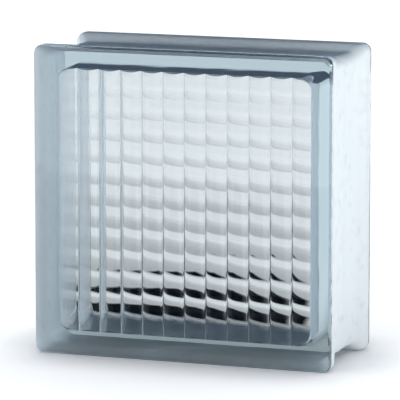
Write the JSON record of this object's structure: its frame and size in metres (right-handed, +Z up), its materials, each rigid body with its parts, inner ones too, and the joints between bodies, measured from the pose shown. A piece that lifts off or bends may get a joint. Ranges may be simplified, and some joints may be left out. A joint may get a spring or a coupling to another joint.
{
  "type": "glass block",
  "caption": "Hollow square building block of clear pressed glass, with crossed flutes on its inner faces and a mortar channel round its edge.",
  "frame": {"origin": "middle of the block's footprint, at the bottom centre of its box", "axes": "+X to the right of the front face, +Y through the block from the front face (at -Y, upright flutes behind it) to the back face (level flutes), +Z up"},
  "size_m": [0.19, 0.08, 0.19],
  "materials": {
    "clear_glass": "pressed and fire-polished clear glass with a faint blue-grey tint through its thickness; the outside of the edge is coated thin, matt and pale from 3 mm behind each face, so that mortar grips it"
  },
  "bodies": {
    "root": {"front_half": "clear_glass", "back_half": "clear_glass"}
  },
  "joints": []
}
